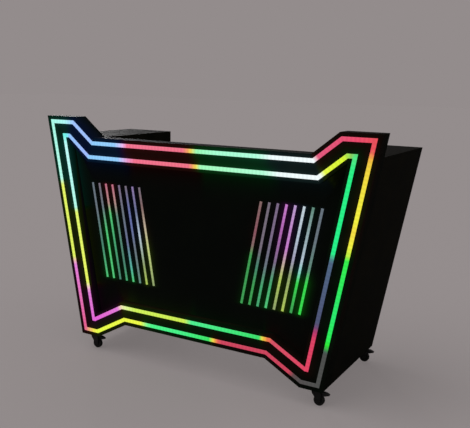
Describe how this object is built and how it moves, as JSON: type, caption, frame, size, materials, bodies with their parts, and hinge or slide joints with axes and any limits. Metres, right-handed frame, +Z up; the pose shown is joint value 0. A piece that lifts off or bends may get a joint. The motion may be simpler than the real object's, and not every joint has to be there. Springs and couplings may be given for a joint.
{
  "type": "folding dj stand",
  "caption": "Black folding stand on casters: slanted front panel with glowing light loops and leaning light bars, fold-in side wings and a drop-leaf table.",
  "frame": {"origin": "centre of the bounding box, on the floor", "axes": "+X to the viewer's right along the front panel, +Y from the front panel to the operator, +Z up"},
  "size_m": [1.6, 0.5936, 1.09],
  "materials": {
    "black_board": "satin black laminate",
    "field_board": "matt black laminate",
    "opal": "opal silicone, lit",
    "led_tape": "white tape",
    "circuit": "solder mask",
    "steel": "zinc plated",
    "black_steel": "black powder coat",
    "supply_case": "sheet case",
    "black_plastic": "fine grain",
    "wheel_rubber": "matt"
  },
  "bodies": {
    "stand": {"front_frame": "black_board", "field_panel": "field_board", "outer_diffuser": "opal", "inner_diffuser": "opal", "outer_led_tape": "led_tape", "inner_led_tape": "led_tape", "left_bar_lens": "opal", "right_bar_lens": "opal", "left_bar_led_board": "circuit", "right_bar_led_board": "circuit", "rear_cover": "field_board", "power_supply": "supply_case", "light_controller": "black_plastic", "power_inlet": "black_plastic", "table_hinge_fixed_leaf": "steel", "table_hinge_pin": "steel", "hinge_post_left": "black_board", "left_hinge_fixed_leaf": "steel", "left_hinge_pin": "steel", "hinge_post_right": "black_board", "right_hinge_fixed_leaf": "steel", "right_hinge_pin": "steel", "front_left_caster_plate": "steel", "front_right_caster_plate": "steel"},
    "table": {"table_board": "black_board", "table_hinge_moving_leaf": "steel"},
    "left_wing": {"left_wing_side": "black_board", "left_wing_inner": "black_board", "left_wing_top": "black_board", "left_wing_floor": "black_board", "left_wing_front": "black_board", "left_wing_shelf": "black_board", "left_hinge_moving_leaf": "steel", "left_bracket_plate": "black_steel", "rear_left_caster_plate": "steel"},
    "left_bracket": {"left_bracket_arm": "black_steel"},
    "right_wing": {"right_wing_side": "black_board", "right_wing_inner": "black_board", "right_wing_top": "black_board", "right_wing_floor": "black_board", "right_wing_front": "black_board", "right_wing_shelf": "black_board", "right_hinge_moving_leaf": "steel", "right_bracket_plate": "black_steel", "rear_right_caster_plate": "steel"},
    "right_bracket": {"right_bracket_arm": "black_steel"},
    "front_left_swivel": {"front_left_caster_fork": "steel"},
    "front_left_roller": {"front_left_caster_wheel": "wheel_rubber"},
    "front_left_pedal": {"front_left_caster_brake": "black_steel"},
    "front_right_swivel": {"front_right_caster_fork": "steel"},
    "front_right_roller": {"front_right_caster_wheel": "wheel_rubber"},
    "front_right_pedal": {"front_right_caster_brake": "black_steel"},
    "rear_left_swivel": {"rear_left_caster_fork": "steel"},
    "rear_left_roller": {"rear_left_caster_wheel": "wheel_rubber"},
    "rear_left_pedal": {"rear_left_caster_brake": "black_steel"},
    "rear_right_swivel": {"rear_right_caster_fork": "steel"},
    "rear_right_roller": {"rear_right_caster_wheel": "wheel_rubber"},
    "rear_right_pedal": {"rear_right_caster_brake": "black_steel"}
  },
  "joints": [
    {"name": "left_wing_fold", "type": "hinge", "parent": "stand", "child": "left_wing", "pos_m": [-0.519, -0.16675, 0.5517], "axis": [0, 0, -1], "range_deg": [0, 90]},
    {"name": "right_wing_fold", "type": "hinge", "parent": "stand", "child": "right_wing", "pos_m": [0.519, -0.16675, 0.5517], "axis": [0, 0, 1], "range_deg": [0, 90]},
    {"name": "table_fold", "type": "hinge", "parent": "stand", "child": "table", "pos_m": [0, -0.21475, 0.9287], "axis": [-1, 0, 0], "range_deg": [-90, 0]},
    {"name": "left_bracket_swing", "type": "hinge", "parent": "left_wing", "child": "left_bracket", "pos_m": [-0.5149, 0.12925, 0.9183], "axis": [0, 0, -1], "range_deg": [-90, 0]},
    {"name": "right_bracket_swing", "type": "hinge", "parent": "right_wing", "child": "right_bracket", "pos_m": [0.5149, 0.12925, 0.9183], "axis": [0, 0, 1], "range_deg": [-90, 0]},
    {"name": "front_left_caster_swivel", "type": "hinge", "parent": "stand", "child": "front_left_swivel", "pos_m": [-0.571, -0.25775, 0.064], "axis": [0, 0, 1], "continuous": true},
    {"name": "front_left_wheel_roll", "type": "hinge", "parent": "front_left_swivel", "child": "front_left_roller", "pos_m": [-0.553, -0.25775, 0.0225], "axis": [0, 1, 0], "continuous": true},
    {"name": "front_left_brake", "type": "hinge", "parent": "front_left_swivel", "child": "front_left_pedal", "pos_m": [-0.547, -0.25775, 0.052], "axis": [0, -1, 0], "range_deg": [0, 12]},
    {"name": "front_right_caster_swivel", "type": "hinge", "parent": "stand", "child": "front_right_swivel", "pos_m": [0.571, -0.25775, 0.064], "axis": [0, 0, 1], "continuous": true},
    {"name": "front_right_wheel_roll", "type": "hinge", "parent": "front_right_swivel", "child": "front_right_roller", "pos_m": [0.589, -0.25775, 0.0225], "axis": [0, 1, 0], "continuous": true},
    {"name": "front_right_brake", "type": "hinge", "parent": "front_right_swivel", "child": "front_right_pedal", "pos_m": [0.595, -0.25775, 0.052], "axis": [0, -1, 0], "range_deg": [0, 12]},
    {"name": "rear_left_caster_swivel", "type": "hinge", "parent": "left_wing", "child": "rear_left_swivel", "pos_m": [-0.571, 0.27225, 0.064], "axis": [0, 0, 1], "continuous": true},
    {"name": "rear_left_wheel_roll", "type": "hinge", "parent": "rear_left_swivel", "child": "rear_left_roller", "pos_m": [-0.553, 0.27225, 0.0225], "axis": [0, 1, 0], "continuous": true},
    {"name": "rear_left_brake", "type": "hinge", "parent": "rear_left_swivel", "child": "rear_left_pedal", "pos_m": [-0.547, 0.27225, 0.052], "axis": [0, -1, 0], "range_deg": [0, 12]},
    {"name": "rear_right_caster_swivel", "type": "hinge", "parent": "right_wing", "child": "rear_right_swivel", "pos_m": [0.571, 0.27225, 0.064], "axis": [0, 0, 1], "continuous": true},
    {"name": "rear_right_wheel_roll", "type": "hinge", "parent": "rear_right_swivel", "child": "rear_right_roller", "pos_m": [0.589, 0.27225, 0.0225], "axis": [0, 1, 0], "continuous": true},
    {"name": "rear_right_brake", "type": "hinge", "parent": "rear_right_swivel", "child": "rear_right_pedal", "pos_m": [0.595, 0.27225, 0.052], "axis": [0, -1, 0], "range_deg": [0, 12]}
  ]
}
